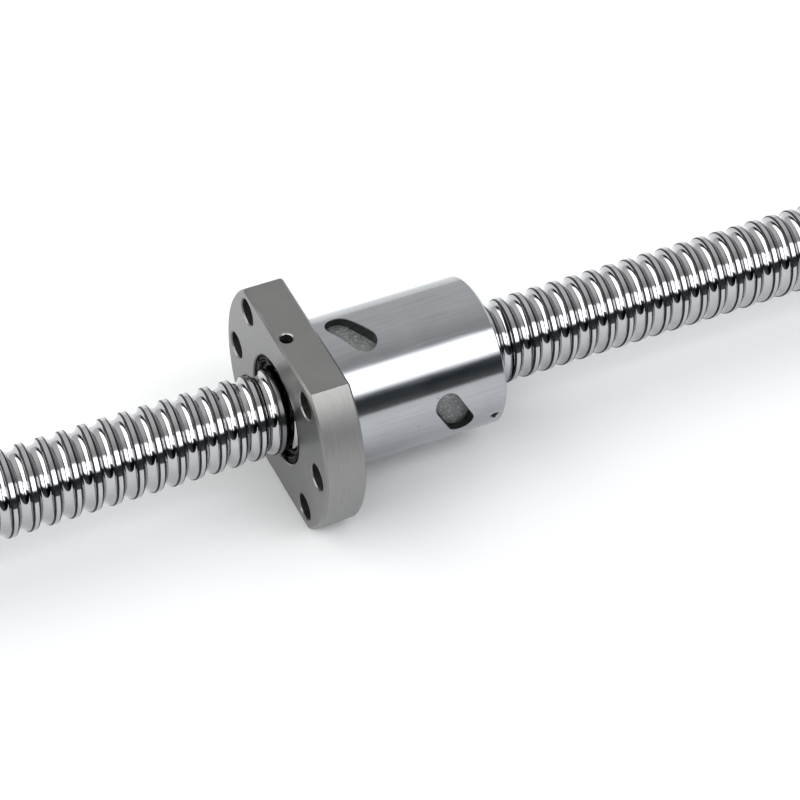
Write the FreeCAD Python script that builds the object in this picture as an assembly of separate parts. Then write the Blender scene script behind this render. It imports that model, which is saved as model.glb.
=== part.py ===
# Ball screw assembly: a 20 mm left-hand ground screw with a 5 mm lead and its flanged nut.
# Every piece is drawn with the screw axis along Z, then laid down so that the axis runs
# along X and the small flats of the flange face up and down.
# The origin is on the screw axis, in the face of the flange that seats on the housing.
# Lengths are in millimetres and angles in degrees.
import FreeCAD, Part
import math
import os

os.makedirs("parts", exist_ok=True)

# Screw
screw_d = 20.0
lead = 5.0
ball_d = 3.175
ball_circle_d = 21.0
groove_r = 1.75
groove_phase = 2.85          # axial place of the groove centre at angle zero
thread_start = -105.0
thread_end = 155.0
thread_chamfer = 1.2
seat_d = 15.0                # bearing seats at both ends
seat_start_len = 35.0
seat_end_len = 15.0
nut_thread_len = 13.0        # M15 x 1 for the bearing lock nut
nut_thread_pitch = 1.0
nut_thread_depth = 0.6
relief_len = 1.6
relief_d = 13.4
drive_d = 12.0
drive_len = 22.0
circlip_groove_d = 14.3
circlip_groove_w = 1.1
circlip_groove_offset = 1.5
end_chamfer = 0.6

# Nut body
body_d = 36.0
body_len = 41.0
body_seam = -30.0             # where the round wall closes, away from the slots
flange_d = 58.0
flange_flats = 44.0
flange_t = 10.0
edge_chamfer = 0.5
bore_d = 20.7
bolt_circle_d = 47.0
bolt_hole_d = 6.6
bolt_hole_chamfer = 0.3
bolt_angles = (0.0, 45.0, 135.0, 180.0, 225.0, 315.0)

# Return deflectors, one for each closed turn of balls
circuits = 4
first_deflector_z = 9.1
deflector_step = 1.25 * lead
first_deflector_angle = 90.0
deflector_turn = -90.0
slot_len = 13.4
slot_w = 6.2
slot_tilt = 28.5
slot_shift = -0.3            # along the screw, from the middle of the crossing
slot_edge = 0.15
deflector_gap = 0.05
deflector_top_r = 15.0
channel_r = 2.05             # return channel on the underside of a deflector
channel_lift = 1.45
crossing_half_angle = 30.0
crossing_clear = 1.76        # from a crossing ball's centre to the edge of the screw's land
ball_gap = 0.04

# Wipers, one at each end of the nut
recess_d = 26.6
recess_depth = 5.6
recess_chamfer = 0.3
carrier_d = 26.4
carrier_face_inset = 0.4
carrier_len = 5.0
carrier_groove_d = 25.2
carrier_groove_w = 3.4
pocket_d = 24.2
lip_d = 24.04
lip_bore_d = 20.4
lip_len = 2.6
lip_inset = 0.9              # from the carrier's face to the lip ring's face
lip_rib_h = 0.25
lip_rib_w = 0.35
carrier_bore_d = 20.9
mouth_d = 23.4               # opening of the carrier in front of the lip ring

# Lock screws of the wipers
front_lock_d = 3.0
front_lock_len = 5.0
front_lock_inset = 2.7       # from the flange's free face
front_lock_angle = 90.0
rear_lock_d = 2.0
rear_lock_len = 3.6
rear_lock_inset = 2.6
rear_lock_angle = 197.5
lock_tip_r = 12.8

screw_r = screw_d / 2
ball_r = ball_d / 2
path_r = ball_circle_d / 2
body_r = body_d / 2
front_face = -flange_t
recess_floor = front_face + recess_depth
rear_recess_floor = body_len - recess_depth
front_lock_z = front_face + front_lock_inset
rear_lock_z = body_len - rear_lock_inset


def vec(x, y, z):
    return FreeCAD.Vector(x, y, z)


def polar(radius, angle, z):
    a = math.radians(angle)
    return vec(radius * math.cos(a), radius * math.sin(a), z)


def rod(diameter, z0, z1):
    return Part.makeCylinder(diameter / 2, z1 - z0, vec(0, 0, z0))


def turned(points):
    """A solid of revolution about the screw axis from (radius, z) corners."""
    corners = [vec(r, 0, z) for r, z in points]
    outline = Part.makePolygon(corners + corners[:1])
    return Part.Face(outline).revolve(vec(0, 0, 0), vec(0, 0, 1), 360)


def chamfered_rod(diameter, z0, z1, c0, c1):
    r = diameter / 2
    points = [(0, z0), (r - c0, z0), (r, z0 + c0), (r, z1 - c1), (r - c1, z1), (0, z1)]
    return turned(points)


def swept(profile, path, frenet):
    """Carries a closed profile along a path and closes the ends."""
    pipe = Part.BRepOffsetAPI.MakePipeShell(path)
    if frenet:
        pipe.setFrenetMode(True)
    pipe.add(profile)
    pipe.build()
    pipe.makeSolid()
    return pipe.shape()


def helix_sweep(profile, pitch, radius, z0, turns, left_hand):
    """Carries a closed profile, drawn at angle zero, along a helix."""
    helix = Part.makeLongHelix(pitch, pitch * turns, radius, 0, left_hand)
    helix.translate(vec(0, 0, z0))
    return swept(profile, Part.Wire(helix.Edges), True)


def groove_profile(z0, outward):
    """Round-bottomed ball groove: the arc points away from the open side."""
    side = 1 if outward else -1
    open_r = path_r - side * 1.1
    high = vec(path_r, 0, z0 + groove_r)
    low = vec(path_r, 0, z0 - groove_r)
    bottom = vec(path_r + side * groove_r, 0, z0)
    open_low = vec(open_r, 0, z0 - groove_r)
    open_high = vec(open_r, 0, z0 + groove_r)
    arc = Part.Arc(high, bottom, low).toShape()
    walls = Part.makePolygon([low, open_low, open_high, high])
    return Part.Wire([arc] + walls.Edges)


def ball_groove(z_low, z_high, outward):
    """The ball groove as a solid that covers at least z_low to z_high."""
    first = math.floor((z_low - groove_phase) / lead) - 1
    last = math.ceil((z_high - groove_phase) / lead) + 1
    z0 = groove_phase + first * lead
    return helix_sweep(groove_profile(z0, outward), lead, path_r, z0, last - first, True)


def fine_thread_cutter(z0, turns):
    r = seat_d / 2
    half = 0.45 * nut_thread_pitch
    out = r + 0.2
    bottom = r - nut_thread_depth
    outer = [vec(out, 0, z0 + half), vec(out, 0, z0 - half)]
    inner = [vec(bottom, 0, z0 - 0.06), vec(bottom, 0, z0 + 0.06)]
    profile = Part.makePolygon(outer + inner + outer[:1])
    return helix_sweep(profile, nut_thread_pitch, r, z0, turns, False)


def make_screw():
    threaded = chamfered_rod(screw_d, thread_start, thread_end, thread_chamfer, thread_chamfer)
    threaded = threaded.cut(ball_groove(thread_start, thread_end, False))
    seat_z = thread_start - seat_start_len
    thread_z = seat_z - nut_thread_len
    drive_z = thread_z - drive_len
    lock_thread = chamfered_rod(seat_d, thread_z, seat_z + 1.0, end_chamfer, 0)
    lock_thread = lock_thread.cut(fine_thread_cutter(thread_z - nut_thread_pitch, nut_thread_len))
    relief = rod(seat_d + 1, seat_z - relief_len, seat_z).cut(rod(relief_d, seat_z - 5, seat_z + 5))
    lock_thread = lock_thread.cut(relief)
    start_seat = rod(seat_d, seat_z, thread_start + 1.0)
    drive = chamfered_rod(drive_d, drive_z, thread_z + 1.0, end_chamfer, 0)
    end_z = thread_end + seat_end_len
    end_seat = chamfered_rod(seat_d, thread_end - 1.0, end_z, 0, end_chamfer)
    groove_z = end_z - circlip_groove_offset - circlip_groove_w
    circlip_groove = rod(seat_d + 1, groove_z, groove_z + circlip_groove_w)
    end_seat = end_seat.cut(circlip_groove.cut(rod(circlip_groove_d, groove_z - 1, groove_z + 3)))
    return threaded.multiFuse([start_seat, lock_thread, drive, end_seat])


def make_flange():
    r = flange_d / 2
    c = edge_chamfer
    points = [(0, front_face), (r - c, front_face), (r, front_face + c), (r, -c), (r - c, 0), (0, 0)]
    disc = turned(points)
    half = flange_flats / 2
    c45 = c * math.sqrt(2)
    for side in (1, -1):
        waste = Part.makeBox(flange_d, r, flange_t, vec(-r, half, front_face))
        strip = Part.makeBox(flange_d, c45, c45, vec(-r, -c45 / 2, -c45 / 2))
        strip.rotate(vec(0, 0, 0), vec(1, 0, 0), 45)
        low_edge = strip.translated(vec(0, half, front_face))
        high_edge = strip.translated(vec(0, half, 0))
        turn = 0 if side == 1 else 180
        for tool in (waste, low_edge, high_edge):
            tool.rotate(vec(0, 0, 0), vec(0, 0, 1), turn)
            disc = disc.cut(tool)
    return disc


def bolt_hole(angle):
    centre = polar(bolt_circle_d / 2, angle, 0)
    r = bolt_hole_d / 2
    c = bolt_hole_chamfer
    hole = Part.makeCylinder(r, flange_t + 2, vec(0, 0, front_face - 1))
    front = Part.makeCone(r + c, r, c, vec(0, 0, front_face))
    back = Part.makeCone(r, r + c, c, vec(0, 0, -c))
    tool = hole.multiFuse([front, back])
    tool.translate(centre)
    return tool


def deflector_place(index):
    angle = first_deflector_angle + index * deflector_turn
    z = first_deflector_z + index * deflector_step
    return angle, z


def obround_prism(length, width, r0, r1, angle, z):
    """A round-ended block that stands on the nut wall, tilted along the crossing."""
    half = (length - width) / 2
    w = width / 2
    a = vec(-half, w, 0)
    b = vec(half, w, 0)
    c = vec(half, -w, 0)
    d = vec(-half, -w, 0)
    end_right = Part.Arc(b, vec(half + w, 0, 0), c).toShape()
    end_left = Part.Arc(d, vec(-half - w, 0, 0), a).toShape()
    outline = Part.Wire([Part.makeLine(a, b), end_right, Part.makeLine(c, d), end_left])
    block = Part.Face(outline).extrude(vec(0, 0, r1 - r0))
    block.translate(vec(0, 0, r0))
    block.rotate(vec(0, 0, 0), vec(0, 0, 1), slot_tilt)
    block.translate(vec(0, slot_shift, 0))
    # local X becomes the tangent, local Y the screw axis and local Z the outward radius
    block.rotate(vec(0, 0, 0), vec(1, 1, 1), 120)
    block.rotate(vec(0, 0, 0), vec(0, 0, 1), angle)
    block.translate(vec(0, 0, z))
    return block


def deflector_slot(index):
    angle, z = deflector_place(index)
    return obround_prism(slot_len, slot_w, 8.0, body_r + 2, angle, z)


def lock_hole(diameter, angle, z, r_out):
    """A radial hole from outside into the wiper recess, with its edge broken by 0.25."""
    r = diameter / 2
    outward = polar(1, angle, 0)
    hole = Part.makeCylinder(r, r_out + 1 - 12.0, polar(12.0, angle, z), outward)
    mouth = Part.makeCone(r, r + 0.5, 0.5, polar(r_out - 0.25, angle, z), outward)
    return hole.fuse(mouth)


def recess_outline(face, floor, inward):
    """Half section of a wiper recess that opens at a face; inward is +1 or -1 along the axis."""
    r = recess_d / 2
    wide = r + recess_chamfer
    mouth = [(0, face - inward), (wide, face - inward), (wide, face)]
    return mouth + [(r, face + inward * recess_chamfer), (r, floor), (0, floor)]


def break_slot_edges(body):
    """Chamfers the outer edges of the deflector slots."""
    edges = []
    for edge in body.Edges:
        points = edge.discretize(7)
        on_barrel = all(abs(math.hypot(p.x, p.y) - body_r) < 0.001 for p in points)
        inside = all(2.0 < p.z < body_len - 6.0 for p in points)
        if on_barrel and inside and len(edge.Vertexes) == 2:
            edges.append(edge)
    seam = [e for e in edges if abs(e.BoundBox.ZLength - e.Length) < 0.001]
    return body.makeChamfer(slot_edge, [e for e in edges if e not in seam])


def make_nut_body():
    barrel = chamfered_rod(body_d, -2.0, body_len, 0, edge_chamfer)
    barrel.rotate(vec(0, 0, 0), vec(0, 0, 1), body_seam)
    body = make_flange().fuse(barrel)
    body = body.cut(rod(bore_d, front_face - 1, body_len + 1))
    body = body.cut(ball_groove(recess_floor - 1, rear_recess_floor + 1, True))
    tools = [turned(recess_outline(front_face, recess_floor, 1))]
    tools.append(turned(recess_outline(body_len, rear_recess_floor, -1)))
    tools += [bolt_hole(angle) for angle in bolt_angles]
    tools += [deflector_slot(index) for index in range(circuits)]
    for tool in tools:
        body = body.cut(tool)
    body = break_slot_edges(body)
    body = body.cut(lock_hole(front_lock_d, front_lock_angle, front_lock_z, flange_flats / 2))
    return body.cut(lock_hole(rear_lock_d, rear_lock_angle, rear_lock_z, body_r))


def circuit_point(index, angle):
    """A ball centre on the closed path; angle runs from -180 to 180 about the deflector."""
    middle, z = deflector_place(index)
    side = 1 if angle > 0 else -1
    groove_z = z + side * lead / 2 - lead * angle / 360
    if abs(angle) > crossing_half_angle:
        return polar(path_r, middle + angle, groove_z)
    # the ball climbs round the edge of the land while it shifts towards the next turn
    drift = lead / 2 * (1 - abs(angle) / crossing_half_angle) ** 2
    land_edge = math.sqrt(groove_r ** 2 - (path_r - screw_r) ** 2)
    to_edge = max(0.0, land_edge - drift)
    radius = screw_r + math.sqrt(crossing_clear ** 2 - to_edge ** 2)
    return polar(radius, middle + angle, groove_z - side * drift)


def make_ball_circuit(index):
    steps = 2880
    path = [circuit_point(index, -180 + 360 * i / steps) for i in range(steps + 1)]
    lengths = [0.0]
    for a, b in zip(path, path[1:]):
        lengths.append(lengths[-1] + (b - a).Length)
    count = int(lengths[-1] / (ball_d + ball_gap))
    balls = []
    here = 0
    for k in range(count):
        target = (k + 0.5) * lengths[-1] / count
        while lengths[here] < target:
            here += 1
        balls.append(Part.makeSphere(ball_r, path[here]))
    return Part.Compound(balls)


def channel_point(angle):
    """The middle line of the return channel, a little smoother than the balls' own path."""
    part = angle / crossing_half_angle
    rise = (lead / 2 - lead * crossing_half_angle / 360) * math.sin(math.pi / 2 * part)
    lift = channel_lift * math.cos(math.pi / 2 * part) ** 2
    return polar(path_r + lift, angle, rise)


def crossing_channel():
    points = [channel_point(crossing_half_angle * (i / 6 - 1)) for i in range(13)]
    first = points[0] + (points[0] - points[1]) * 3
    last = points[-1] + (points[-1] - points[-2]) * 3
    curve = Part.BSplineCurve()
    curve.interpolate([first] + points + [last])
    start = curve.tangent(curve.FirstParameter)[0]
    profile = Part.Wire([Part.Edge(Part.Circle(first, start, channel_r))])
    return swept(profile, Part.Wire([curve.toShape()]), False)


def make_deflector():
    """One deflector at angle zero and height zero; the four are alike."""
    gap = 2 * deflector_gap
    plug = obround_prism(slot_len - gap, slot_w - gap, 8.5, deflector_top_r, 0, 0)
    plug = plug.cut(rod(bore_d, -12, 12))
    plug = plug.cut(crossing_channel())
    return max(plug.Solids, key=lambda solid: solid.Volume)


def placed_deflector(index):
    angle, z = deflector_place(index)
    plug = make_deflector()
    plug.rotate(vec(0, 0, 0), vec(0, 0, 1), angle)
    plug.translate(vec(0, 0, z))
    return plug


def carrier_outline():
    """Half section of a wiper carrier as (radius, distance from its outer face)."""
    r = carrier_d / 2
    g = carrier_groove_d / 2
    g0 = front_lock_inset - carrier_face_inset - carrier_groove_w / 2
    g1 = g0 + carrier_groove_w
    mouth = mouth_d / 2
    pocket = pocket_d / 2
    back = lip_inset + lip_len + 0.15
    front = lip_inset - 0.1
    bore = carrier_bore_d / 2
    outside = [(mouth, 0), (r - 0.2, 0), (r, 0.2), (r, g0), (g, g0), (g, g1), (r, g1), (r, carrier_len)]
    inside = [(bore, carrier_len), (bore, back), (pocket, back), (pocket, front), (mouth, front)]
    return outside + inside


def lip_outline():
    """Half section of a wiper lip ring, ribbed on the face that shows."""
    r = lip_d / 2
    bore = lip_bore_d / 2
    ribs = []
    ring = mouth_d / 2 - 0.15
    while ring - 2 * lip_rib_w > bore + 0.1:
        ribs += [(ring, lip_inset), (ring - 0.1, lip_inset + lip_rib_h)]
        ribs += [(ring - lip_rib_w, lip_inset + lip_rib_h), (ring - lip_rib_w - 0.05, lip_inset)]
        ring -= 2 * lip_rib_w
    tail = lip_inset + lip_len
    inside = [(bore + 0.3, lip_inset), (bore, lip_inset + 0.5), (bore, tail)]
    return [(r, lip_inset)] + ribs + inside + [(r, tail)]


def place_front(outline):
    return turned([(r, front_face + carrier_face_inset + z) for r, z in outline])


def place_rear(outline):
    return turned([(r, body_len - carrier_face_inset - z) for r, z in outline])


def make_lock_screw(diameter, length, angle, z):
    r = diameter / 2 - 0.03
    tip = [(0, 0), (r - 0.5, 0), (r, 0.5), (r, length - 0.2), (r - 0.2, length), (0, length)]
    screw = turned(tip)
    across = 0.5 * diameter
    corners = [polar(across / math.sqrt(3), 60 * i, length - 0.45 * diameter) for i in range(6)]
    socket = Part.Face(Part.makePolygon(corners + corners[:1])).extrude(vec(0, 0, diameter))
    screw = screw.cut(socket)
    screw.rotate(vec(0, 0, 0), vec(0, 1, 0), 90)
    screw.translate(vec(lock_tip_r, 0, z))
    screw.rotate(vec(0, 0, 0), vec(0, 0, 1), angle)
    return screw


def save(name, shape):
    """Lays the piece down: Z becomes X, X becomes Y and Y becomes Z."""
    laid = shape.copy()
    laid.rotate(vec(0, 0, 0), vec(1, 1, 1), 120)
    laid.exportStep("parts/" + name + ".step")
    print(name, len(laid.Solids), "solids", round(laid.Volume, 2), "mm3", laid.isValid())


save("screw_shaft", make_screw())
save("nut_body", make_nut_body())
for i in range(circuits):
    save("return_deflector_%d" % (i + 1), placed_deflector(i))
    save("ball_circuit_%d" % (i + 1), make_ball_circuit(i))
save("wiper_carrier_front", place_front(carrier_outline()))
save("wiper_carrier_rear", place_rear(carrier_outline()))
save("wiper_lip_front", place_front(lip_outline()))
save("wiper_lip_rear", place_rear(lip_outline()))
front_lock = make_lock_screw(front_lock_d, front_lock_len, front_lock_angle, front_lock_z)
rear_lock = make_lock_screw(rear_lock_d, rear_lock_len, rear_lock_angle, rear_lock_z)
save("wiper_lock_screw_front", front_lock)
save("wiper_lock_screw_rear", rear_lock)
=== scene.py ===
# Looks of the ball screw assembly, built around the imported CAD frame.
# The sizes below, and the meshes while they are worked out, are in millimetres.
# Finished meshes, materials, lights and camera are in metres.
import math

import bmesh
import bpy
import numpy as np
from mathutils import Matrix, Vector


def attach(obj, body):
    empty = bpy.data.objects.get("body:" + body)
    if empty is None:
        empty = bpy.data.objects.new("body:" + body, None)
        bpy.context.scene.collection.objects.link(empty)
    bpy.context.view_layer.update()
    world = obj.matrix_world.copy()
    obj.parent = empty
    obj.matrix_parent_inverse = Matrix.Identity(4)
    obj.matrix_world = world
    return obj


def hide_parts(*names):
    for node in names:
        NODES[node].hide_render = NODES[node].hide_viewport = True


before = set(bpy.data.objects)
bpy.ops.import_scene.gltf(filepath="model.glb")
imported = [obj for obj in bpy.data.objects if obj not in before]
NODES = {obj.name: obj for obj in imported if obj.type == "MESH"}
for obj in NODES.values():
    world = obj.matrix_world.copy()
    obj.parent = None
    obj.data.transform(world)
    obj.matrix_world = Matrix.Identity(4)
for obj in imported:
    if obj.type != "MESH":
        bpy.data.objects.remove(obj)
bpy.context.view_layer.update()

MM = 0.001
TURN = 2 * math.pi

# ---------------------------------------------------------------- sizes, in millimetres
SCREW_R = 10.0
LEAD = 5.0
GROOVE_CENTRE_R = 10.5
GROOVE_R = 1.75
GROOVE_PHASE = 2.85
THREAD_START = -105.0
THREAD_END = 155.0
THREAD_CHAMFER = 1.2
SEAT_R = 7.5
SEAT_START = -140.0
RELIEF_R = 6.7
RELIEF_START = -141.6
NUT_THREAD_START = -153.0
NUT_THREAD_ROOT_R = 6.9
NUT_THREAD_LEAD = 1.0
DRIVE_R = 6.0
DRIVE_START = -175.0
END_FACE = 170.0
CIRCLIP_R = 7.15
CIRCLIP_START = 167.4
CIRCLIP_END = 168.5
END_CHAMFER = 0.6
SEGMENTS = 72

# rounding between the ball groove and the land: its radius, the distance from the centre of
# the groove to its own centre, and the half width of the groove with both roundings
EDGE_R = 0.5
EDGE_REACH = GROOVE_R + EDGE_R
EDGE_DROP = GROOVE_CENTRE_R - SCREW_R + EDGE_R
EDGE_W = math.sqrt(EDGE_REACH ** 2 - EDGE_DROP ** 2)
GROOVE_STEPS = 12
EDGE_STEPS = 3

BARREL_R = 18.0
RIM_R = 29.0
BORE_R = 10.35
RECESS_R = 13.3
FLANGE_FACE = -10.0
SEAT_FACE = 0.0
NUT_END = 41.0
OUTER_CHAMFER = 0.5
HOLE_CHAMFER = 0.3
LOCK_CHAMFER = 0.25
BOLT_CIRCLE_R = 23.5
BOLT_HOLE_R = 3.3
BOLT_ANGLES = (0, 45, 135, 180, 225, 315)
# the ball groove inside the nut reaches this far
NUT_GROOVE_R = 12.4
NUT_GROOVE_START = -4.3
NUT_GROOVE_END = 35.3
# each slot: angle round the axis, place along it
SLOTS = ((90, 8.8), (0, 15.05), (-90, 21.3), (-180, 27.55))
SLOT_HALF = 3.6
SLOT_END_R = 3.1
SLOT_TILT = 28.5
SLOT_FLOOR_R = 12.3
SLOTS_START = 3.0
SLOTS_END = 34.0
# each lock screw hole: angle, place, radius, distance of its mouth from the axis
LOCK_HOLES = ((90, -7.3, 1.5, 22.0), (197.5, 38.4, 1.0, 18.0))
FLOOR_Z = -22.0
FLOOR_GAP = 0.2
FLOOR_SIZE = 12000.0

# how far a point may lie off a plane, a cone or a round surface and still count as on it
PLANE_REACH = 1e-4
CONE_REACH = 1e-3
ROUND_REACH = 0.05
# a point this far below the land is off it
LAND_CLEAR = 0.02
# a packed face belongs to a surface of the nut when its corners are this near to it and its
# normal agrees with the surface's by at least this cosine
MATCH_REACH = 0.03
MATCH_COSINE = 0.93
# a face between the slot floor and the barrel that looks less than this straight at or away
# from the axis is a wall of the slot or its broken edge
WALL_COSINE = 0.9

# what a face of the screw is, which says how its normal is found
KIND_CURVED, KIND_FLAT, KIND_TURNED, KIND_FINE_THREAD = range(4)
# materials of the nut, by number
GROUND, WALL, BOLT_HOLE, RIM = range(4)


# ---------------------------------------------------------------- node helpers
def new_material(name):
    material = bpy.data.materials.new(name)
    material.use_nodes = True
    tree = material.node_tree
    tree.nodes.clear()
    out = tree.nodes.new("ShaderNodeOutputMaterial")
    shader = tree.nodes.new("ShaderNodeBsdfPrincipled")
    tree.links.new(shader.outputs[0], out.inputs[0])
    return material, tree, shader


def node(tree, kind, **settings):
    made = tree.nodes.new(kind)
    for key, value in settings.items():
        setattr(made, key, value)
    return made


def plug(tree, socket, value):
    """A node socket is linked, anything else is a plain value."""
    if isinstance(value, bpy.types.NodeSocket):
        tree.links.new(value, socket)
    else:
        socket.default_value = value


def feed(tree, made, **values):
    """Sets inputs by name, with _ for a space."""
    for key, value in values.items():
        plug(tree, made.inputs[key.replace("_", " ")], value)
    return made


def calc(tree, operation, *values, clamp=False):
    made = node(tree, "ShaderNodeMath", operation=operation, use_clamp=clamp)
    for socket, value in zip(made.inputs, values):
        plug(tree, socket, value)
    return made.outputs[0]


def blend(tree, a, a_share, b, b_share):
    """The sum of a and b, each times its share."""
    first = calc(tree, "MULTIPLY", a, a_share)
    second = calc(tree, "MULTIPLY", b, b_share)
    return calc(tree, "ADD", first, second)


def spread(tree, value, low_in, high_in, low_out, high_out):
    made = node(tree, "ShaderNodeMapRange")
    feed(tree, made, Value=value, From_Min=low_in, From_Max=high_in, To_Min=low_out, To_Max=high_out)
    return made.outputs["Result"]


def mix_colours(tree, factor, a, b, blend_type="MIX"):
    made = node(tree, "ShaderNodeMix", data_type="RGBA", blend_type=blend_type)
    plug(tree, made.inputs[0], factor)
    plug(tree, made.inputs[6], a)
    plug(tree, made.inputs[7], b)
    return made.outputs[2]


def mix_values(tree, factor, a, b):
    made = node(tree, "ShaderNodeMix", data_type="FLOAT")
    plug(tree, made.inputs[0], factor)
    plug(tree, made.inputs[2], a)
    plug(tree, made.inputs[3], b)
    return made.outputs[0]


def object_place(tree, scale=(1, 1, 1)):
    """Object coordinates in metres, stretched by scale."""
    coords = node(tree, "ShaderNodeTexCoord")
    mapping = node(tree, "ShaderNodeMapping")
    feed(tree, mapping, Vector=coords.outputs["Object"], Scale=scale)
    return mapping.outputs["Vector"]


def split(tree, place):
    made = node(tree, "ShaderNodeSeparateXYZ")
    tree.links.new(place, made.inputs[0])
    return made.outputs


def noise(tree, scale, detail=3.0, roughness=0.55, stretch=(1, 1, 1)):
    """Noise in object coordinates, drawn out along an axis where its stretch is small."""
    made = node(tree, "ShaderNodeTexNoise")
    place = object_place(tree, stretch)
    feed(tree, made, Vector=place, Scale=scale, Detail=detail, Roughness=roughness)
    return made.outputs["Fac"]


def spots(tree, scale):
    """Distance from scattered points, in units of their spacing."""
    made = node(tree, "ShaderNodeTexVoronoi")
    feed(tree, made, Vector=object_place(tree), Scale=scale)
    return made.outputs["Distance"]


def ramp_colour(tree, value, stops):
    made = node(tree, "ShaderNodeValToRGB")
    elements = made.color_ramp.elements
    while len(elements) < len(stops):
        elements.new(0.5)
    for element, (position, colour) in zip(elements, stops):
        element.position = position
        element.color = (*colour, 1)
    tree.links.new(value, made.inputs[0])
    return made.outputs["Color"]


def bump(tree, shader, height, strength, distance):
    made = node(tree, "ShaderNodeBump")
    feed(tree, made, Height=height, Strength=strength, Distance=distance)
    tree.links.new(made.outputs[0], shader.inputs["Normal"])


# ---------------------------------------------------------------- materials
def screw_steel():
    """Ground and polished shaft: mirror-like, with faint grinding lines round it."""
    material, tree, shader = new_material("screw_steel")
    lines = noise(tree, 5200, 2.0, stretch=(1, 0.06, 0.06))
    cloud = noise(tree, 160)
    fine = noise(tree, 1400, 2.0)
    colour = ramp_colour(tree, cloud, [(0.3, (0.425, 0.425, 0.443)), (0.7, (0.475, 0.475, 0.493))])
    polish = spread(tree, cloud, 0.3, 0.7, 0.045, 0.075)
    haze = spread(tree, fine, 0.45, 0.8, 0.0, 0.05)
    rough = calc(tree, "ADD", polish, haze)
    feed(tree, shader, Base_Color=colour, Metallic=1.0, Roughness=rough)
    bump(tree, shader, lines, 0.05, 0.00001)
    return material


def nut_steel():
    """Hardened nut: finely ground barrel, more matt flange faces, a few small pits."""
    material, tree, shader = new_material("nut_steel")
    along = split(tree, object_place(tree))["X"]
    flange = spread(tree, along, 0.0001, 0.0003, 1.0, 0.0)
    cloud = noise(tree, 90, 4.0)
    grain = noise(tree, 2600)
    drawn = noise(tree, 1500, stretch=(0.05, 1, 1))
    streaky = blend(tree, cloud, 0.45, drawn, 0.55)
    speckled = blend(tree, cloud, 0.6, grain, 0.4)

    pit = spread(tree, spots(tree, 260.0), 0.035, 0.06, 1.0, 0.0)
    chance = spread(tree, noise(tree, 60, 1.0), 0.51, 0.55, 0.0, 1.0)
    pit = calc(tree, "MULTIPLY", pit, chance, clamp=True)

    barrel = ramp_colour(tree, streaky, [(0.35, (0.335, 0.345, 0.365)), (0.65, (0.40, 0.41, 0.43))])
    faces = ramp_colour(tree, speckled, [(0.35, (0.208, 0.208, 0.206)), (0.65, (0.242, 0.242, 0.238))])
    clean = mix_colours(tree, flange, barrel, faces)
    colour = mix_colours(tree, pit, clean, (0.08, 0.08, 0.08, 1))
    smooth = spread(tree, streaky, 0.35, 0.7, 0.11, 0.18)
    matt = spread(tree, grain, 0.3, 0.7, 0.29, 0.38)
    rough = mix_values(tree, flange, smooth, matt)
    feed(tree, shader, Base_Color=colour, Metallic=1.0, Roughness=rough)
    height = calc(tree, "SUBTRACT", calc(tree, "MULTIPLY", drawn, 0.45), pit)
    bump(tree, shader, height, 0.2, 0.00002)
    return material


def turned_rim_painted_highlight():
    """Round rim of the flange: turned, more matt than the ground faces, and a fifth lighter in colour than
    them, a painted highlight that brightens its sheen.
    """
    material, tree, shader = new_material("nut_rim_steel")
    marks = noise(tree, 4200, 2.0, stretch=(1, 0.04, 0.04))
    grain = noise(tree, 2600)
    speckled = blend(tree, marks, 0.5, grain, 0.5)
    # painted highlight: the rim's colour is about a fifth lighter than the flange faces
    colour = ramp_colour(tree, speckled, [(0.35, (0.25, 0.25, 0.247)), (0.65, (0.295, 0.295, 0.29))])
    rough = spread(tree, grain, 0.3, 0.7, 0.42, 0.52)
    feed(tree, shader, Base_Color=colour, Metallic=1.0, Roughness=rough)
    bump(tree, shader, marks, 0.1, 0.00002)
    return material


def deflector_steel():
    """Sintered, blasted plugs with a coarse grain."""
    material, tree, shader = new_material("deflector_steel")
    coarse = noise(tree, 1900, 4.0, 0.7)
    colour = ramp_colour(tree, coarse, [
        (0.32, (0.135, 0.145, 0.145)),
        (0.55, (0.235, 0.245, 0.245)),
        (0.66, (0.42, 0.43, 0.43)),
        (0.77, (0.88, 0.89, 0.89)),
    ])
    rough = spread(tree, coarse, 0.3, 0.7, 0.38, 0.6)
    feed(tree, shader, Base_Color=colour, Metallic=0.85, Roughness=rough)
    bump(tree, shader, calc(tree, "ADD", coarse, spots(tree, 2600.0)), 0.9, 0.00012)
    return material


def plain_metal(name, scale, low, high, metallic, rough, detail=3.0, low_at=0.3, high_at=0.75):
    """A metal whose colour and roughness follow one grain; returns its grain for a bump."""
    material, tree, shader = new_material(name)
    grain = noise(tree, scale, detail)
    colour = ramp_colour(tree, grain, [(low_at, low), (high_at, high)])
    feed(tree, shader, Base_Color=colour, Metallic=metallic, Roughness=spread(tree, grain, 0.3, 0.7, *rough))
    return material, tree, shader, grain


def painted_dark_edge():
    """Thin dark edge between the ground groove and the ground outside: the rounded edges are painted
    near-black, a painted dark reflection.
    """
    low, high = (0.012, 0.012, 0.013), (0.035, 0.035, 0.037)
    material, tree, shader, grain = plain_metal("painted_dark_edge", 1500, low, high, 0.9, (0.3, 0.45))
    bump(tree, shader, grain, 0.2, 0.00001)
    return material


def slot_wall_painted_shade():
    """Oily, unground walls of the slots and their broken edges, painted near-black as painted shade of the
    slot recesses; the greenish tint is the oil.
    """
    low, high = (0.012, 0.018, 0.016), (0.035, 0.047, 0.043)
    material, tree, shader, cloud = plain_metal("oiled_wall_painted_shade", 500, low, high, 0.7, (0.25, 0.45))
    bump(tree, shader, cloud, 0.2, 0.00003)
    return material


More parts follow.
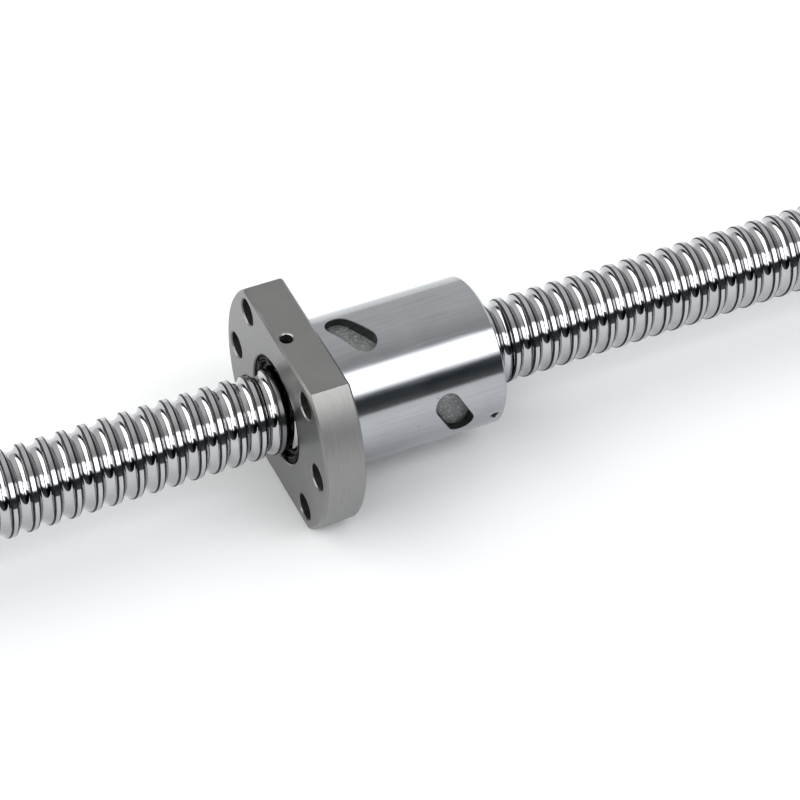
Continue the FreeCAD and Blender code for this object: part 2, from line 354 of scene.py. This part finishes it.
def hole_wall_painted_shade():
    """Walls of the bolt holes and small holes, seen only as black: painted near-black, painted shade inside
    the holes.
    """
    low, high = (0.012, 0.012, 0.012), (0.03, 0.03, 0.03)
    return plain_metal("bolt_hole_wall_painted_shade", 900, low, high, 0.3, (0.4, 0.6), detail=2.0)[0]


def ball_steel():
    """Polished balls."""
    low, high = (0.78, 0.785, 0.8), (0.84, 0.845, 0.855)
    return plain_metal("ball_steel", 700, low, high, 1.0, (0.03, 0.06), detail=2.0, high_at=0.7)[0]


def lock_screw_steel():
    """Black oxide on the small screws, darkened to near black as painted shade of the holes they sit in."""
    low, high = (0.01, 0.01, 0.011), (0.02, 0.02, 0.022)
    material, tree, shader, grain = plain_metal(
        "lock_screw_steel", 1800, low, high, 0.8, (0.35, 0.5), high_at=0.7)
    bump(tree, shader, grain, 0.2, 0.00002)
    return material


def ribs_and_sheen_round_axis(tree):
    """Thin broken rings about the screw axis: 1 on a rib, 0 between ribs; the ribs get a lighter colour as a
    painted sheen.
    """
    parts = split(tree, object_place(tree))
    across = node(tree, "ShaderNodeCombineXYZ")
    feed(tree, across, Y=parts["Y"], Z=parts["Z"])
    radius = node(tree, "ShaderNodeVectorMath", operation="LENGTH")
    tree.links.new(across.outputs[0], radius.inputs[0])
    rings = node(tree, "ShaderNodeTexNoise", noise_dimensions="1D")
    feed(tree, rings, W=radius.outputs["Value"], Scale=3600.0, Detail=1.0)
    on_ring = spread(tree, rings.outputs["Fac"], 0.5, 0.62, 0.0, 1.0)
    unbroken = spread(tree, noise(tree, 260, 2.0), 0.4, 0.6, 0.0, 1.0)
    return calc(tree, "MULTIPLY", on_ring, unbroken)


def wiper_black(name, high, rough, gloss):
    """Black moulding with thin ribs round the axis, painted lighter as a painted sheen where the ribs catch
    light.
    """
    material, tree, shader = new_material(name)
    grain = noise(tree, 2500)
    shade = blend(tree, grain, 0.2, ribs_and_sheen_round_axis(tree), 0.8)
    # painted sheen: the ribs are lighter than the black between them
    stops = [(0.05, (0.002, 0.002, 0.002)), (0.2, (high, high, high)), (0.8, (0.09, 0.09, 0.095))]
    rough = spread(tree, grain, 0.3, 0.7, rough, rough + 0.15)
    feed(tree, shader, Base_Color=ramp_colour(tree, shade, stops), Roughness=rough)
    feed(tree, shader, Specular_IOR_Level=spread(tree, shade, 0.1, 0.8, gloss, gloss + 0.15))
    bump(tree, shader, shade, 0.25, 0.00003)
    return material


def pale_floor():
    material, tree, shader = new_material("pale_floor")
    cloud = noise(tree, 3.0, 2.0)
    colour = ramp_colour(tree, cloud, [(0.3, (0.69, 0.7, 0.72)), (0.7, (0.71, 0.72, 0.74))])
    feed(tree, shader, Base_Color=colour, Roughness=0.9, Specular_IOR_Level=0.1)
    return material


# ---------------------------------------------------------------- screw mesh
def groove_profile():
    """Half section of one lead as (place along the axis, radius) points."""
    open_angle = math.atan2(EDGE_W, EDGE_DROP)
    groove = []
    for i in range(GROOVE_STEPS + 1):
        a = open_angle * (2 * i / GROOVE_STEPS - 1)
        groove.append((GROOVE_R * math.sin(a), GROOVE_CENTRE_R - GROOVE_R * math.cos(a)))
    right = []
    for i in range(1, EDGE_STEPS + 1):
        a = open_angle * (1 - i / EDGE_STEPS)
        right.append((EDGE_W - EDGE_R * math.sin(a), SCREW_R - EDGE_R + EDGE_R * math.cos(a)))
    for share in (0.25, 0.5):
        right.append((EDGE_W + (LEAD - 2 * EDGE_W) * share, SCREW_R))
    left = [(-w, r) for w, r in reversed(right[:-1])]
    return left + groove + right


def edge_strips():
    """Numbers of the strips of groove_profile that lie on the rounded edges of the land."""
    left = 1
    right = left + EDGE_STEPS + GROOVE_STEPS
    return {*range(left, left + EDGE_STEPS), *range(right, right + EDGE_STEPS)}


def fine_profile():
    """Half section of the lock nut thread."""
    crest, root = 0.3525, 0.06
    return [(-crest, SEAT_R), (-root, NUT_THREAD_ROOT_R), (root, NUT_THREAD_ROOT_R), (crest, SEAT_R)]


def faces_of(bm, kinds, kind):
    return [f for f in bm.faces if f[kinds] == kind]


def each_once(items):
    return list(dict.fromkeys(items))


def wind_strip(bm, kinds, kind, profile, start, advance, turns, dark):
    """The profile swept along a helix, each turn joined to the next."""
    stations = turns * SEGMENTS
    last = len(profile) - 1
    v = []
    for i in range(stations + 1):
        theta = i * TURN / SEGMENTS
        x = start + advance * theta / TURN
        v.append([bm.verts.new((x + w, r * math.cos(theta), r * math.sin(theta))) for w, r in profile])
    for i in range(stations):
        for j in range(last):
            f = bm.faces.new((v[i][j], v[i + 1][j], v[i + 1][j + 1], v[i][j + 1]))
            # strips on the rounded edges take the second material, a painted dark reflection
            f.material_index = 1 if j in dark else 0
            f[kinds] = kind
    for i in range(stations - SEGMENTS):
        # the far side of one turn meets the near side of the turn beside it
        near, far = (i, i + SEGMENTS) if advance < 0 else (i + SEGMENTS, i)
        f = bm.faces.new((v[far][last], v[far + 1][last], v[near + 1][0], v[near][0]))
        f[kinds] = kind


def cut_between(bm, kinds, kind, x0, x1):
    """Cuts the faces of one kind off outside two planes across the axis."""
    for plane, direction in ((x0, -1), (x1, 1)):
        own = faces_of(bm, kinds, kind)
        edges = each_once(e for f in own for e in f.edges)
        corners = each_once(v for f in own for v in f.verts)
        bmesh.ops.bisect_plane(bm, geom=own + edges + corners, dist=1e-5, clear_outer=True,
                               plane_co=(plane, 0, 0), plane_no=(direction, 0, 0))


def helical_tube(bm, kinds, kind, profile, lead, phase, span, chamfers, dark=()):
    """A thread between two end planes; returns its two end loops of vertices.

    The lead is negative for a left-hand thread.
    """
    x0, x1 = span
    pitch = abs(lead)
    turns = int((x1 - x0) / pitch) + 3
    if lead < 0:
        start = phase + pitch * math.ceil((x1 - phase) / pitch + 1)
    else:
        start = phase + pitch * math.floor((x0 - phase) / pitch - 1)
    wind_strip(bm, kinds, kind, profile, start, lead, turns, dark)
    cut_between(bm, kinds, kind, x0, x1)

    own = each_once(v for f in faces_of(bm, kinds, kind) for v in f.verts)
    top = max(r for _, r in profile)
    for v in own:
        radius = math.hypot(v.co.y, v.co.z)
        inside = (v.co.x - x0, x1 - v.co.x)
        limits = [top - chamfer + depth for chamfer, depth in zip(chamfers, inside) if chamfer]
        limit = min(limits, default=top)
        if radius > limit:
            v.co.y *= limit / radius
            v.co.z *= limit / radius

    def end_loop(plane):
        at_plane = [v for v in own if abs(v.co.x - plane) < PLANE_REACH]
        return [v for v in at_plane if any(len(e.link_faces) == 1 for e in v.link_edges)]

    return end_loop(x0), end_loop(x1)


def ring(bm, x, r):
    step = TURN / SEGMENTS
    return [bm.verts.new((x, r * math.cos(i * step), r * math.sin(i * step))) for i in range(SEGMENTS)]


def skin(bm, kinds, a, b):
    n = len(a)
    for i in range(n):
        f = bm.faces.new((a[i], a[(i + 1) % n], b[(i + 1) % n], b[i]))
        f[kinds] = KIND_TURNED


def turned_run(bm, kinds, points):
    """Rings joined along the axis from (x, radius) points; returns the first and last ring."""
    rings = [ring(bm, x, r) for x, r in points]
    for a, b in zip(rings, rings[1:]):
        skin(bm, kinds, a, b)
    return rings[0], rings[-1]


def around(v):
    return math.atan2(v.co.z, v.co.y)


def zip_loops(bm, kinds, outer, inner):
    """Fills the flat ring between two loops that both go once round the axis."""
    outer = sorted(outer, key=around)
    inner = sorted(inner, key=around)
    i = j = 0
    while i < len(outer) or j < len(inner):
        a, b = outer[i % len(outer)], inner[j % len(inner)]
        next_a = around(outer[i + 1]) if i + 1 < len(outer) else around(outer[0]) + TURN
        next_b = around(inner[j + 1]) if j + 1 < len(inner) else around(inner[0]) + TURN
        if j >= len(inner) or (i < len(outer) and next_a <= next_b):
            third = outer[(i + 1) % len(outer)]
            i += 1
        else:
            third = inner[(j + 1) % len(inner)]
            j += 1
        f = bm.faces.new((a, b, third))
        f[kinds] = KIND_FLAT


def cap(bm, kinds, loop):
    f = bm.faces.new(loop)
    f[kinds] = KIND_FLAT


def groove_normal(p):
    """Normal of the threaded part at a point, from its place in the lead."""
    r = math.hypot(p.y, p.z)
    theta = math.atan2(p.z, p.y)
    w = (p.x - GROOVE_PHASE + LEAD * theta / TURN + LEAD / 2) % LEAD - LEAD / 2
    side = 1 if w > 0 else -1
    if abs(w) >= EDGE_W:
        slope = 0.0
    elif abs(w) > EDGE_W * GROOVE_R / EDGE_REACH:
        slope = (EDGE_W - abs(w)) / EDGE_R
    else:
        slope = abs(w) / GROOVE_R
    slope = min(1.0, slope)
    nx, nr = -side * slope, math.sqrt(1 - slope * slope)
    for end, direction in ((THREAD_START, -1), (THREAD_END, 1)):
        depth = (end - p.x) * direction
        on_cone = abs(r - (SCREW_R - THREAD_CHAMFER + depth)) < CONE_REACH
        if depth < THREAD_CHAMFER and r < SCREW_R - LAND_CLEAR and on_cone:
            nx, nr = direction * math.sqrt(0.5), math.sqrt(0.5)
    c, s = p.y / r, p.z / r
    swirl = nx * LEAD / (TURN * r)
    return Vector((nx, nr * c - swirl * s, nr * s + swirl * c)).normalized()


def turned_normal(face_normal, p):
    """Normal of a turned surface at a point: the slope of its face, straight out from the axis."""
    r = math.hypot(p.y, p.z) or 1.0
    c, s = p.y / r, p.z / r
    side = 1 if face_normal.y * c + face_normal.z * s > 0 else -1
    nr = side * math.sqrt(max(0.0, 1 - face_normal.x ** 2))
    return Vector((face_normal.x, nr * c, nr * s))


def corner_normal(f, v, kind):
    if kind == KIND_CURVED:
        return groove_normal(v.co)
    if kind == KIND_TURNED:
        return turned_normal(f.normal, v.co)
    return f.normal.copy()


def new_object(name, mesh):
    made = bpy.data.objects.new(name, mesh)
    bpy.context.scene.collection.objects.link(made)
    return made


def make_screw():
    """The screw as one closed mesh: ground thread, turned ends, threads that are real helices."""
    bm = bmesh.new()
    kinds = bm.faces.layers.int.new("kind")
    low, high = helical_tube(
        bm, kinds, KIND_CURVED, groove_profile(), -LEAD, GROOVE_PHASE,
        (THREAD_START, THREAD_END), (THREAD_CHAMFER, THREAD_CHAMFER), edge_strips())
    fine_low, fine_high = helical_tube(
        bm, kinds, KIND_FINE_THREAD, fine_profile(), NUT_THREAD_LEAD, 0.0,
        (NUT_THREAD_START, RELIEF_START), (END_CHAMFER, 0.0))
    drive_cap, drive_end = turned_run(bm, kinds, [
        (DRIVE_START, DRIVE_R - END_CHAMFER),
        (DRIVE_START + END_CHAMFER, DRIVE_R),
        (NUT_THREAD_START, DRIVE_R),
    ])
    relief_low, seat_end = turned_run(bm, kinds, [
        (RELIEF_START, RELIEF_R),
        (SEAT_START, RELIEF_R),
        (SEAT_START, SEAT_R),
        (THREAD_START, SEAT_R),
    ])
    end_low, end_cap = turned_run(bm, kinds, [
        (THREAD_END, SEAT_R),
        (CIRCLIP_START, SEAT_R),
        (CIRCLIP_START, CIRCLIP_R),
        (CIRCLIP_END, CIRCLIP_R),
        (CIRCLIP_END, SEAT_R),
        (END_FACE - END_CHAMFER, SEAT_R),
        (END_FACE, SEAT_R - END_CHAMFER),
    ])
    zip_loops(bm, kinds, fine_low, drive_end)
    zip_loops(bm, kinds, fine_high, relief_low)
    zip_loops(bm, kinds, low, seat_end)
    zip_loops(bm, kinds, high, end_low)
    cap(bm, kinds, drive_cap)
    cap(bm, kinds, end_cap)

    bmesh.ops.recalc_face_normals(bm, faces=bm.faces[:])
    bm.normal_update()
    normals = []
    for f in bm.faces:
        f.smooth = True
        normals += [corner_normal(f, v, f[kinds]) for v in f.verts]
    for v in bm.verts:
        v.co *= MM
    mesh = bpy.data.meshes.new("screw_shaft_ground")
    bm.to_mesh(mesh)
    bm.free()
    mesh.normals_split_custom_set(normals)
    return new_object("screw_shaft_ground", mesh)


# ---------------------------------------------------------------- nut mesh
def face_arrays(mesh):
    """Corner places in millimetres and face normals of a mesh of triangles."""
    count = len(mesh.polygons)
    corners = np.zeros(count * 3, np.int64)
    mesh.polygons.foreach_get("vertices", corners)
    places = np.zeros(len(mesh.vertices) * 3)
    mesh.vertices.foreach_get("co", places)
    points = places.reshape(-1, 3)[corners.reshape(-1, 3)] / MM
    return points, unit(np.cross(points[:, 1] - points[:, 0], points[:, 2] - points[:, 0]))


def unit(v):
    return v / np.maximum(np.linalg.norm(v, axis=-1, keepdims=True), 1e-12)


def round_about(points, centre, axis, radius, sign):
    """Distance from, and normal of, a round wall about an axis."""
    rel = points - centre
    rel = rel - (rel @ axis)[..., None] * axis
    return np.abs(np.linalg.norm(rel, axis=-1) - radius), sign * unit(rel)


def cone_about(points, centre, axis, radius, slope, sign):
    """The same for a 45 degree cone, with this radius at centre and slope of 1 or -1 along axis."""
    rel = points - centre
    along = rel @ axis
    rel = rel - along[..., None] * axis
    away = np.abs(np.linalg.norm(rel, axis=-1) - (radius + slope * along))
    return away, sign * unit(unit(rel) - slope * axis)


X_AXIS = np.array([1.0, 0.0, 0.0])


def on_axis(x):
    return x * X_AXIS


def outward(angle):
    """Unit vector away from the screw axis at an angle in degrees from +Y."""
    a = math.radians(angle)
    return np.array([0.0, math.cos(a), math.sin(a)])


def nut_surfaces(points):
    """Yields (distance, normal, material number) for each curved surface of the nut."""
    for radius, sign, material in (
            (BARREL_R, 1, GROUND), (RIM_R, 1, RIM), (RECESS_R, -1, GROUND), (BORE_R, -1, GROUND)):
        yield (*round_about(points, on_axis(0), X_AXIS, radius, sign), material)
    for x, radius, slope, sign in (
            (FLANGE_FACE, RIM_R - OUTER_CHAMFER, 1, 1),
            (SEAT_FACE, RIM_R - OUTER_CHAMFER, -1, 1),
            (NUT_END, BARREL_R - OUTER_CHAMFER, -1, 1),
            (FLANGE_FACE, RECESS_R + HOLE_CHAMFER, -1, -1),
            (NUT_END, RECESS_R + HOLE_CHAMFER, 1, -1)):
        yield (*cone_about(points, on_axis(x), X_AXIS, radius, slope, sign), GROUND)
    for angle in BOLT_ANGLES:
        centre = BOLT_CIRCLE_R * outward(angle)
        yield (*round_about(points, centre, X_AXIS, BOLT_HOLE_R, -1), BOLT_HOLE)
        for x, slope in ((FLANGE_FACE, -1), (SEAT_FACE, 1)):
            mouth = centre + on_axis(x)
            yield (*cone_about(points, mouth, X_AXIS, BOLT_HOLE_R + HOLE_CHAMFER, slope, -1), GROUND)
    for angle, x in SLOTS:
        out = outward(angle)
        tilt = math.radians(SLOT_TILT)
        along = outward(angle + 90) * math.cos(tilt) + X_AXIS * math.sin(tilt)
        for side in (1, -1):
            centre = on_axis(x) + side * SLOT_HALF * along
            yield (*round_about(points, centre, out, SLOT_END_R, -1), WALL)
    for angle, x, radius, mouth in LOCK_HOLES:
        out = outward(angle)
        centre = on_axis(x) + mouth * out
        yield (*round_about(points, centre, out, radius, -1), BOLT_HOLE)
        yield (*cone_about(points, centre - LOCK_CHAMFER * out, out, radius, 1, -1), GROUND)


def in_ball_groove(points):
    """Which faces lie in the ball groove inside the nut."""
    x = points[..., 0]
    r = np.hypot(points[..., 1], points[..., 2])
    beyond_bore = (r > BORE_R - ROUND_REACH) & (r < NUT_GROOVE_R)
    along_groove = (x > NUT_GROOVE_START) & (x < NUT_GROOVE_END)
    return (beyond_bore & along_groove).all(1)


def on_slot_wall(points, face_normal):
    """Which faces are walls or broken edges of the slots."""
    mean = points.mean(1)
    r = np.hypot(mean[:, 1], mean[:, 2])
    facing_out = np.abs(np.einsum("ij,ij->i", face_normal[:, 1:], unit(mean[:, 1:])))
    in_zone = (mean[:, 0] > SLOTS_START) & (mean[:, 0] < SLOTS_END)
    return in_zone & (r < BARREL_R) & (r > SLOT_FLOOR_R) & (facing_out < WALL_COSINE)


def make_nut(materials):
    """The nut as packed, with the exact normal of each surface, so that highlights run clean."""
    mesh = NODES["nut_body"].data.copy()
    mesh.name = "nut_body_ground"
    bm = bmesh.new()
    bm.from_mesh(mesh)
    bmesh.ops.remove_doubles(bm, verts=bm.verts[:], dist=1e-7)
    bm.to_mesh(mesh)
    bm.free()
    points, face_normal = face_arrays(mesh)
    packed = np.zeros(len(mesh.loops) * 3, np.float32)
    mesh.corner_normals.foreach_get("vector", packed)

    normals = np.repeat(face_normal[:, None, :], 3, axis=1)
    in_groove = in_ball_groove(points)
    normals[in_groove] = packed.reshape(-1, 3, 3)[in_groove]
    # slot walls and their broken edges take the near-black wall material: painted shade
    numbers = np.where(on_slot_wall(points, face_normal), WALL, GROUND)
    for distance, normal, number in nut_surfaces(points):
        close = (distance < MATCH_REACH).all(1)
        agree = (unit(normal.mean(1)) * face_normal).sum(1) > MATCH_COSINE
        match = close & agree
        normals[match] = normal[match]
        numbers[match] = number
    mesh.polygons.foreach_set("use_smooth", np.ones(len(points), bool))
    mesh.normals_split_custom_set(unit(normals).reshape(-1, 3).tolist())
    mesh.materials.clear()
    for material in materials:
        mesh.materials.append(material)
    mesh.polygons.foreach_set("material_index", numbers.astype(np.int32))
    mesh.update()
    return new_object("nut_body_ground", mesh)


def paint(name, material):
    data = NODES[name].data
    data.materials.clear()
    data.materials.append(material)


# ---------------------------------------------------------------- build
screw = make_screw()
screw.data.materials.append(screw_steel())
# the rounded land edges get a near-black material: painted dark reflection
screw.data.materials.append(painted_dark_edge())
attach(screw, "screw")
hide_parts("screw_shaft")

nut = make_nut((nut_steel(), slot_wall_painted_shade(), hole_wall_painted_shade(), turned_rim_painted_highlight()))
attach(nut, "nut")
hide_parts("nut_body")

deflector = deflector_steel()
balls = ball_steel()
for i in range(1, len(SLOTS) + 1):
    paint("return_deflector_%d" % i, deflector)
    paint("ball_circuit_%d" % i, balls)
carrier = wiper_black("wiper_plastic", 0.004, 0.5, 0.0)
lip = wiper_black("wiper_rubber", 0.005, 0.3, 0.06)
lock = lock_screw_steel()
for end in ("front", "rear"):
    paint("wiper_carrier_" + end, carrier)
    paint("wiper_lip_" + end, lip)
    paint("wiper_lock_screw_" + end, lock)

# ---------------------------------------------------------------- floor
bpy.ops.mesh.primitive_plane_add(size=FLOOR_SIZE * MM, location=(0, 0, (FLOOR_Z - FLOOR_GAP) * MM))
floor = bpy.context.object
floor.name = "floor"
floor.data.materials.append(pale_floor())

# ---------------------------------------------------------------- studio light
# The studio is drawn on the world: each lamp is a brightness by the angle from the front
# horizon over the top to the back horizon, times a share by the angle along the screw.
SOFTBOX = [(28.5, 0), (37, 3.15), (64, 3.15), (71, 0)]
SOFTBOX_ALONG = [
    (-90, 0.02), (-38, 0.02), (-35, 1), (-18, 1), (-16, 0.02), (-4, 0.02), (-2, 1), (40, 1),
    (45, 0.02), (90, 0.02),
]
ROOM = [
    (0, 0.13), (4.5, 0.095), (11, 0.065), (17, 0.027), (30, 0.027), (38, 0.3), (66, 0.6),
    (79, 0.5), (89, 0.57), (102, 0.69), (132, 0.78), (172, 0.73), (180, 0.75),
]
SLATE = [(8, 0), (14, 0.015), (32, 0.015), (37, 0)]
ROOM_ALONG = [
    (-90, 0.03), (-20, 0.05), (-5, 1), (38, 1), (46, 0.25), (60, 0.7), (72, 0.1), (90, 0.05),
]
SIDE_BOX = [(44, 0), (50, 3.2), (152, 3.2), (162, 0)]
SIDE_BOX_ALONG = [(-84, 0), (-80, 1), (-36, 1), (-33, 0)]
SIDE_BOX_LEAN = 0.24
LEAN_ABOUT = 0.28
WHITE = (1, 1, 1)
SLATE_TINT = (0.1, 0.9, 1.3)
SIDE_BOX_TINT = (1, 1, 0.95)
# ramps hold 0 to 1, so brightness and share are both kept in quarters
RAMP_TOP = 4
STUDIO_STRENGTH = 17.6
SEEN_BY_CAMERA = (0.06, 0.06, 0.06, 1)

world = bpy.data.worlds.new("studio")
bpy.context.scene.world = world
world.use_nodes = True
sky = world.node_tree
sky.nodes.clear()
axes = split(sky, node(sky, "ShaderNodeTexCoord").outputs["Generated"])
over_angle = calc(sky, "ARCTAN2", axes["Z"], calc(sky, "MULTIPLY", axes["Y"], -1.0))
over_share = calc(sky, "DIVIDE", over_angle, math.pi)
along_angle = calc(sky, "ARCSINE", axes["X"])
along_share = calc(sky, "ADD", calc(sky, "DIVIDE", along_angle, math.pi), 0.5)


def by_angle(value, stops, first):
    """A ramp over half a turn that starts at the angle first."""
    return ramp_colour(sky, value, [((angle - first) / 180, (v / RAMP_TOP,) * 3) for angle, v in stops])


def lamp(over_stops, along_stops, tint, lean=0.0):
    over = by_angle(over_share, over_stops, 0)
    leaning = calc(sky, "MULTIPLY", calc(sky, "SUBTRACT", over_share, LEAN_ABOUT), lean)
    along = by_angle(calc(sky, "SUBTRACT", along_share, leaning), along_stops, -90)
    both = mix_colours(sky, 1.0, over, along, "MULTIPLY")
    return mix_colours(sky, 1.0, both, (*tint, 1), "MULTIPLY")


studio = lamp(SOFTBOX, SOFTBOX_ALONG, WHITE)
for more in (
        lamp(ROOM, ROOM_ALONG, WHITE),
        lamp(SLATE, ROOM_ALONG, SLATE_TINT),
        lamp(SIDE_BOX, SIDE_BOX_ALONG, SIDE_BOX_TINT, SIDE_BOX_LEAN)):
    studio = mix_colours(sky, 1.0, studio, more, "ADD")
for_camera = node(sky, "ShaderNodeLightPath").outputs["Is Camera Ray"]
background = node(sky, "ShaderNodeBackground")
feed(sky, background, Color=mix_colours(sky, for_camera, studio, SEEN_BY_CAMERA), Strength=STUDIO_STRENGTH)
output = node(sky, "ShaderNodeOutputWorld")
sky.links.new(background.outputs[0], output.inputs[0])

fill_data = bpy.data.lights.new("fill", "AREA")
fill_data.shape = "SQUARE"
fill_data.size = 2.0
fill_data.energy = 2.6
fill = new_object("fill", fill_data)
fill.location = (0, 0, 1.2)
fill.visible_glossy = False

# ---------------------------------------------------------------- camera
camera_data = bpy.data.cameras.new("camera")
camera_data.sensor_width = 36.0
camera_data.lens = 136.85
camera_data.clip_start = 0.05
camera_data.clip_end = 30.0
camera = new_object("camera", camera_data)
camera.location = (-0.204792, -0.45613, 0.501605)
camera.rotation_euler = [math.radians(a) for a in (44.8818, -1.4686, -24.9639)]
bpy.context.scene.camera = camera

bpy.context.scene.view_settings.view_transform = "Standard"
bpy.context.scene.view_settings.look = "None"
